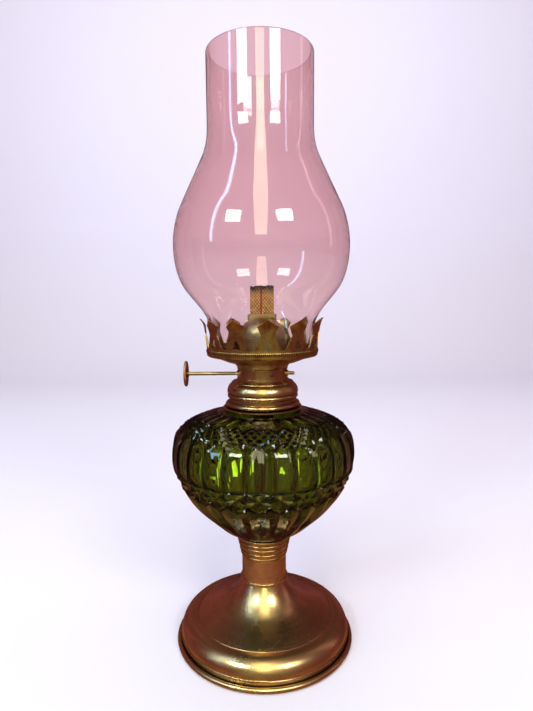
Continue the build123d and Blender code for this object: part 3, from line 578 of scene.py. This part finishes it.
def makeWickFinish(top, start):
    look = wickLook
    material, tree, shader = newMaterial("cottonBraid")
    place = objectPlace(tree)
    parts = addNode(tree, "ShaderNodeSeparateXYZ", {0: place}).outputs
    fibre = addNoise(tree, place, 2600.0, 4.0)
    patch = addNoise(tree, place, 420.0, 3.0)
    lane = addMath(tree, "DIVIDE", addMath(tree, "SUBTRACT", parts[0], start), look["stitchWide"])
    slant = addMath(tree, "SUBTRACT", addMath(tree, "FRACT", lane), 0.5)
    slant = addMath(tree, "MULTIPLY", addMath(tree, "ABSOLUTE", slant), 2.0)
    stitch = addMath(tree, "ADD", addMath(tree, "DIVIDE", parts[2], look["stitchTall"]), slant)
    pit = addMath(tree, "ABSOLUTE", addMath(tree, "SINE", addMath(tree, "MULTIPLY", stitch, math.pi)))
    # painted shade in the gaps between stitches, on top of the modelled braid relief
    colour = addMix(tree, addRamp(tree, pit, 0.3, 0.75), look["shadeAndStain"], look["cotton"])
    # random darker patches of cotton, in the same dark colour
    colour = addMix(tree, addMath(tree, "MULTIPLY", addRamp(tree, patch, 0.45, 0.7), 0.5), colour, look["shadeAndStain"])
    away = addMath(tree, "ABSOLUTE", addMath(tree, "SUBTRACT", parts[0], look["tracerPlace"]))
    tracer = addMath(tree, "SUBTRACT", 1.0, addRamp(tree, away, *look["tracerReach"]))
    colour = addMix(tree, addMath(tree, "MULTIPLY", tracer, addRamp(tree, pit, 0.1, 0.5)), colour, look["tracer"])
    depth = addMath(tree, "SUBTRACT", top, parts[2])
    depth = addScaled(tree, depth, addMath(tree, "SUBTRACT", patch, 0.5), 6.0 * mm)
    char = addMath(tree, "SUBTRACT", 1.0, addRamp(tree, depth, look["charTop"] * 0.4, look["charTop"] * 1.25))
    colour = addMix(tree, char, colour, look["char"])
    tree.links.new(colour, shader.inputs["Base Color"])
    tree.links.new(addScaled(tree, 0.78, fibre, 0.2, clamp=True), shader.inputs["Roughness"])
    shader.inputs["Sheen Weight"].default_value = 0.05
    addBump(tree, shader, 0.6, 0.00012, fibre)
    return material


def makeWick():
    look = wickLook
    low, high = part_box("wick")
    chance = random.Random(look["seed"])
    width, depth = high.x - low.x, high.y - low.y
    inset = look["relief"] * 0.5
    side = depth * look["roundedShare"]
    face = width - 2 * inset - side
    facePoints = int(round(face / look["stitchWide"])) * look["columnSteps"]
    ring = []  # x, y and the outward direction of each point: front, right edge, back, left edge
    for half in (1, -1):
        for step in range(facePoints + 1):
            ring.append((half * (-face / 2 + face * step / facePoints), -half * (depth / 2 - inset), 0, -half))
        for step in range(1, look["edgeSteps"]):
            angle = -half * math.pi / 2 + math.pi * step / look["edgeSteps"]
            outX, outY = math.cos(angle), math.sin(angle)
            ring.append((half * face / 2 + side / 2 * outX, (depth / 2 - inset) * outY, outX, outY))
    ring = np.array(ring)
    along = np.concatenate([[0], np.cumsum(np.hypot(np.diff(ring[:, 0]), np.diff(ring[:, 1])))])
    shownFrom = high.z - look["shown"]
    levels = np.concatenate([
        np.arange(low.z, shownFrom, look["hiddenStep"]), np.arange(shownFrom, high.z + 1e-9, look["rowStep"]),
    ])
    lane = along / look["stitchWide"]
    slant = np.abs(lane - np.floor(lane) - 0.5) * 2
    fray = np.array([chance.random() for place in range(len(ring))])
    fray = np.convolve(np.concatenate([fray[-2:], fray, fray[:2]]), np.ones(5) / 5, mode="valid")
    fray = (fray - fray.min()) / (fray.max() - fray.min())
    vertices = []
    for level in levels:
        stitch = level / look["stitchTall"] + slant
        yarn = np.abs(np.sin(math.pi * stitch)) ** look["yarnSharp"] * (1 - look["laneDip"] * slant ** 6)
        lift = (yarn - look["yarnMiddle"]) * look["relief"]
        nearTop = np.clip((level - (high.z - look["frayReach"])) / look["frayReach"], 0, 1)
        x = ring[:, 0] + ring[:, 2] * lift
        y = (ring[:, 1] + ring[:, 3] * lift) * (1 - look["pinch"] * nearTop)
        y = y + look["waver"] * np.sin(lane * look["waverRate"]) * nearTop
        z = np.full(len(ring), level) - look["fray"] * fray * nearTop
        vertices.append(np.stack([x, y, z], axis=-1))
    count = len(ring)
    faces = ringFaces(len(levels), count, False)
    vertices = list(np.vstack(vertices))
    for row, turned in ((0, False), (len(levels) - 1, True)):
        start = row * count
        loop = list(range(start, start + count))
        faces.append(tuple(loop if turned else reversed(loop)))
    piece = newPiece("wickBraid", vertices, faces, makeWickFinish(high.z, -face / 2), "wick", 60.0)
    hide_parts("wick")


makeWick()
print("wick built")


# baize pad under the foot
feltLook = {
    "rings": 26, "columns": 180, "edge": 0.7 * mm, "bevel": 0.2 * mm, "pile": 0.09 * mm, "seed": 11,
    "green": (0.025, 0.10, 0.045), "pale": (0.06, 0.17, 0.08), "dust": (0.20, 0.19, 0.13),
}


def makeFeltFinish():
    look = feltLook
    material, tree, shader = newMaterial("baize")
    place = objectPlace(tree)
    fibre = addNoise(tree, place, 1500.0, 6.0, distortion=2.0)
    worn = addNoise(tree, place, 55.0, 5.0)
    colour = addMix(tree, addRamp(tree, fibre, 0.35, 0.65), look["green"], look["pale"])
    colour = addMix(tree, addMath(tree, "MULTIPLY", addRamp(tree, worn, 0.55, 0.75), 0.5), colour, look["dust"])
    tree.links.new(colour, shader.inputs["Base Color"])
    tree.links.new(addScaled(tree, 0.8, fibre, 0.2, clamp=True), shader.inputs["Roughness"])
    shader.inputs["Sheen Weight"].default_value = 0.4
    addBump(tree, shader, 0.9, 0.0002, fibre)
    return material


def makeFelt():
    look = feltLook
    low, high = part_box("baize_pad")
    chance = random.Random(look["seed"])
    radius, edge = high.x, look["edge"]
    profile = [(radius * step / look["rings"], low.z) for step in range(1, look["rings"])]
    profile = [(r, z) for r, z in profile if r < radius - edge]
    for step in range(5):
        angle = -math.pi / 2 + math.pi / 2 * step / 4
        profile.append((radius - edge + edge * math.cos(angle), low.z + edge + edge * math.sin(angle)))
    profile += [(radius, high.z - look["bevel"]), (radius - look["bevel"], high.z)]
    profile += [(radius * 0.5, high.z), (radius * 0.02, high.z)]
    vertices = []
    columns = look["columns"]
    for r, z in profile:
        for column in range(columns):
            angle = 2 * math.pi * column / columns
            lift = look["pile"] * chance.random() if z < high.z - edge else 0.0
            reach = r - look["pile"] * chance.random() * (r > radius * 0.9)
            vertices.append((reach * math.cos(angle), reach * math.sin(angle), z + lift))
    faces = ringFaces(len(profile), columns, False)
    faces.append(tuple(range(columns - 1, -1, -1)))
    faces.append(tuple(range((len(profile) - 1) * columns, len(profile) * columns)))
    piece = newPiece("baizeDisc", vertices, faces, makeFeltFinish(), "lamp", 50.0)
    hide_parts("baize_pad")


makeFelt()
print("felt built")


# pressed details on the gallery and the winding knob
knurlLook = {
    "ridges": 186, "steps": 6, "proud": 0.38 * mm, "height": 2.7 * mm, "above": 1.4 * mm, "sink": 0.15 * mm,
    "paintedShade": 1.6,
}


def makeKnurl():
    look = knurlLook
    radius = bandRadius()
    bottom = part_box("air_plate")[0].z + look["above"]
    columns = look["ridges"] * look["steps"]
    angles = np.arange(columns) * 2 * math.pi / columns
    wave = np.clip(np.abs(np.sin(np.arange(columns) / look["steps"] * math.pi)), 0, 1) ** 0.7
    rows = []
    for share in np.linspace(0, 1, 7):
        ends = math.sqrt(max(0.0, 1 - (2 * share - 1) ** 4))
        ridges = (look["sink"] + look["proud"] * wave) * ends
        rows.append((radius - look["sink"] + ridges, bottom + share * look["height"]))
    rows += [(radius - look["sink"] * 1.5, bottom + look["height"]), (radius - look["sink"] * 1.5, bottom)]
    faces = ringFaces(len(rows), columns, True)
    metal = brasses["prongBrass"]
    piece = newPiece("galleryKnurl", turnRows(rows, angles), faces, metal, "gallery", 40.0)
    # the grooves between knurl ridges get painted shade
    setHollow(piece, np.tile(np.clip(look["paintedShade"] * (1 - wave), 0, 1), len(rows)))


def bandRadius():
    # outside radius of the gallery's upright band, measured below the prongs
    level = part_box("air_plate")[1].z + 3.0 * mm
    spot = nodes["gallery"].ray_cast(Vector((0, -0.2, level)), Vector((0, 1, 0)))[1]
    return -spot.y


scallopLook = {
    "waves": 26, "steps": 8, "reach": 1.9 * mm, "swing": 0.38 * mm, "sway": 0.25 * mm, "drop": 0.9 * mm,
    "thick": 0.35 * mm, "gap": 0.12 * mm, "below": 0.35 * mm,
}


def makeScallop():
    # the crimped edge where the gallery's dish is closed over the neck
    look = scallopLook
    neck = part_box("burner_neck")[1]
    columns = look["waves"] * look["steps"]
    turn = np.arange(columns) * 2 * math.pi / columns
    wave = np.sin(turn * look["waves"])
    inner = neck.x + look["gap"]
    middle, outer = inner + look["reach"] * 0.55, inner + look["reach"] + look["sway"] * wave
    base = neck.z - look["below"]
    brim = base - look["drop"] * 0.6 + look["swing"] * wave
    rows = [(inner, base), (middle, base - look["drop"] * 0.35 + 0.3 * look["swing"] * wave), (outer, brim)]
    rows += [(outer, brim + look["thick"]), (middle, base + look["thick"] * 0.6), (inner, base + look["thick"])]
    faces = ringFaces(len(rows), columns, True)
    newPiece("galleryCrimp", turnRows(rows, turn), faces, brasses["prongBrass"], "gallery", 35.0)


coinLook = {
    "teeth": 72, "steps": 4, "proud": 0.3 * mm, "sink": 0.25 * mm, "thick": 1.3 * mm, "inset": 0.1 * mm,
    "rim": 1.1 * mm,
}


def makeKnobEdge():
    look = coinLook
    low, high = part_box("wick_knob")
    middle = (low + high) / 2
    radius = (high.z - low.z) / 2
    columns = look["teeth"] * look["steps"]
    turn = np.arange(columns) * 2 * math.pi / columns
    wave = np.abs(np.sin(np.arange(columns) / look["steps"] * math.pi)) ** 0.8
    thick, start = look["thick"], low.x + look["inset"]
    rows = []
    for share in (0.0, 0.15, 0.5, 0.85, 1.0):
        bulge = math.sqrt(1 - (2 * share - 1) ** 2 * 0.8)
        rows.append((radius - look["sink"] + look["proud"] * wave * bulge, start + thick * share))
    rows += [(radius - look["rim"] + 0 * wave, start + thick), (radius - look["rim"] + 0 * wave, start)]
    layers = []
    for r, x in rows:
        across, up = middle.y + r * np.cos(turn), middle.z + r * np.sin(turn)
        layers.append(np.stack([np.full(columns, x), across, up], axis=-1))
    faces = ringFaces(len(rows), columns, True)
    newPiece("knobCoining", np.vstack(layers), faces, brasses["knobBrass"], "winder", 35.0)


makeKnurl()
makeScallop()
makeKnobEdge()
print("pressed details built")


# floor, lights and camera
cameraView = {"place": (0.0, -0.340, 0.2315), "pitch": 6.28, "roll": 0.5, "shift": 0.0065, "verticalLens": 26.27}


def makeCamera():
    camera = bpy.data.cameras.new("studioCamera")
    camera.sensor_fit = "VERTICAL"
    camera.sensor_height = 36.0
    camera.lens = cameraView["verticalLens"]
    camera.clip_start = 0.01
    camera.shift_x = cameraView["shift"]
    holder = addToScene("studioCamera", camera)
    holder.location = cameraView["place"]
    holder.rotation_euler = (math.radians(90 - cameraView["pitch"]), math.radians(cameraView["roll"]), 0)
    scene.camera = holder


stageLook = {
    "floor": (0.70, 0.685, 0.80), "wall": (0.79, 0.775, 0.93), "seenThrough": (0.88, 0.62, 0.62),
    "width": 6.0, "near": -3.0, "wallPlace": 1.6, "height": 3.2, "bend": 0.5, "bendSteps": 12,
}


def makeStage():
    look = stageLook
    bend, start = look["bend"], look["wallPlace"] - look["bend"]
    profile = [(look["near"], 0.0), (start, 0.0)]
    for index in range(1, look["bendSteps"] + 1):
        angle = index / look["bendSteps"] * math.pi / 2
        profile.append((start + bend * math.sin(angle), bend * (1 - math.cos(angle))))
    profile.append((look["wallPlace"], look["height"]))
    half = look["width"] / 2
    vertices = [(side * half, y, z) for y, z in profile for side in (-1, 1)]
    faces = [(2 * i, 2 * i + 1, 2 * i + 3, 2 * i + 2) for i in range(len(profile) - 1)]
    mesh = bpy.data.meshes.new("studioSweep")
    mesh.from_pydata(vertices, [], faces)
    mesh.shade_smooth()
    sweep = addToScene("studioSweep", mesh)
    material, tree, shader = newMaterial("studioPaper")
    place = objectPlace(tree)
    height = addNode(tree, "ShaderNodeSeparateXYZ", {0: place}).outputs[2]
    paper = addMix(tree, addRamp(tree, height, 0.0, 0.5), look["floor"], look["wall"])
    through = addNode(tree, "ShaderNodeLightPath").outputs["Is Transmission Ray"]
    tinted = addMix(tree, 1.0, paper, look["seenThrough"], "MULTIPLY")
    tree.links.new(addMix(tree, through, paper, tinted), shader.inputs["Base Color"])
    shader.inputs["Roughness"].default_value = 0.9
    mesh.materials.append(material)
    sweep.visible_glossy = False


daylight = (0.96, 0.97, 1.0)
lampMiddle = (0, 0, 0.17)
# soft lights are never mirrored in metal or glass
lightLooks = {
    "windowFront": {
        "place": (0.0, -1.15, 1.12), "aim": lampMiddle, "size": (0.40, 1.6),
        "power": 10.0, "colour": (1.0, 0.93, 0.60),
    },
    "windowLeft": {
        "place": (-0.66, -0.88, 0.86), "aim": lampMiddle, "size": (0.40, 0.26),
        "power": 6.5, "colour": (0.86, 0.95, 1.0),
    },
    "windowRight": {
        "place": (0.55, -0.92, 0.86), "aim": lampMiddle, "size": (0.40, 0.26),
        "power": 6.0, "colour": (0.98, 0.98, 0.95),
    },
    "windowBlue": {
        "place": (-1.05, -0.50, 0.95), "aim": lampMiddle, "size": (0.09, 1.4),
        "power": 4.5, "colour": (0.36, 0.68, 1.0),
    },
    "windowRose": {
        "place": (1.15, 0.12, 0.8), "aim": lampMiddle, "size": (0.07, 1.2),
        "power": 0.5, "colour": (1.0, 0.72, 0.80),
    },
    "topSoft": {
        "place": (0.0, 0.1, 1.7), "aim": lampMiddle, "size": (1.6, 1.6),
        "power": 9.0, "colour": daylight, "soft": True,
    },
    "wallWash": {
        "place": (0.0, 0.3, 1.7), "aim": (0, 1.6, 0.6), "size": (2.8, 0.8),
        "power": 17.0, "colour": daylight, "soft": True,
    },
    "floorWash": {
        "place": (0.0, -0.9, 1.7), "aim": lampMiddle, "size": (2.6, 0.8),
        "power": 9.0, "colour": daylight, "soft": True,
    },
}


def makeLights():
    for name, look in lightLooks.items():
        lamp = bpy.data.lights.new(name, "AREA")
        lamp.shape = "RECTANGLE"
        lamp.size, lamp.size_y = look["size"]
        lamp.energy = look["power"]
        lamp.color = look["colour"]
        holder = addToScene(name, lamp)
        holder.location = look["place"]
        direction = Vector(look["aim"]) - Vector(look["place"])
        holder.rotation_euler = direction.to_track_quat("-Z", "Y").to_euler()
        if look.get("soft"):
            holder.visible_glossy = False
            holder.visible_transmission = False


glowLook = {"place": (-0.008, 0.125, 0.078), "size": (0.030, 0.012), "strength": 9.0, "colour": (1.0, 1.0, 0.8)}


def makeGlow():
    # a bright patch of daylight behind the font, seen only through the glass
    look = glowLook
    x, y, z = look["place"]
    wide, tall = look["size"][0] / 2, look["size"][1] / 2
    mesh = bpy.data.meshes.new("daylightPatch")
    corners = ((-wide, -tall), (wide, -tall), (wide, tall), (-wide, tall))
    mesh.from_pydata([(x + across, y, z + up) for across, up in corners], [], [(0, 1, 2, 3)])
    patch = addToScene("daylightPatch", mesh)
    material, tree, shader = newMaterial("daylight")
    glow = addNode(tree, "ShaderNodeEmission", {"Color": (*look["colour"], 1), "Strength": look["strength"]})
    tree.links.new(glow.outputs[0], tree.nodes["Material Output"].inputs["Surface"])
    mesh.materials.append(material)
    patch.visible_camera = patch.visible_diffuse = patch.visible_glossy = patch.visible_shadow = False


roomLook = {
    "side": (0.17, 0.045, 0.058), "front": (0.26, 0.22, 0.135), "above": (0.12, 0.05, 0.05),
    "below": (0.34, 0.13, 0.05),
    "frontWidth": (0.74, 0.97), "aboveFrom": (0.35, 0.9), "belowFrom": (0.3, 0.55),
    "dim": (0.45, 0.45, 0.45), "lit": (1.5, 1.5, 1.5), "mottleScale": 3.2,
}


def makeWorld():
    # a dim rose-brown room with a paler, warmer part in front of the lamp
    world = bpy.data.worlds.new("studioAir")
    scene.world = world
    world.use_nodes = True
    look = roomLook
    tree = world.node_tree
    tree.nodes.clear()
    out = tree.nodes.new("ShaderNodeOutputWorld")
    toward = addNode(tree, "ShaderNodeTexCoord").outputs["Generated"]
    parts = addNode(tree, "ShaderNodeSeparateXYZ", {0: toward}).outputs
    flat = addMath(tree, "MAXIMUM", flatLength(tree, parts), 0.001)
    facing = addMath(tree, "DIVIDE", addMath(tree, "MULTIPLY", parts[1], -1.0), flat)
    front = addRamp(tree, facing, *look["frontWidth"])
    mottle = addRamp(tree, addNoise(tree, toward, look["mottleScale"], 3.0), 0.35, 0.65)
    colour = addMix(tree, addRamp(tree, parts[2], *look["aboveFrom"]), look["side"], look["above"])
    colour = addMix(tree, front, colour, look["front"])
    downward = addMath(tree, "MULTIPLY", parts[2], -1.0)
    colour = addMix(tree, addRamp(tree, downward, *look["belowFrom"]), colour, look["below"])
    colour = addMix(tree, 1.0, colour, addMix(tree, mottle, look["dim"], look["lit"]), "MULTIPLY")
    air = addNode(tree, "ShaderNodeBackground", {"Color": colour, "Strength": 1.0})
    tree.links.new(air.outputs[0], out.inputs["Surface"])


makeCamera()
makeStage()
makeLights()
makeGlow()
makeWorld()
print("stage built")
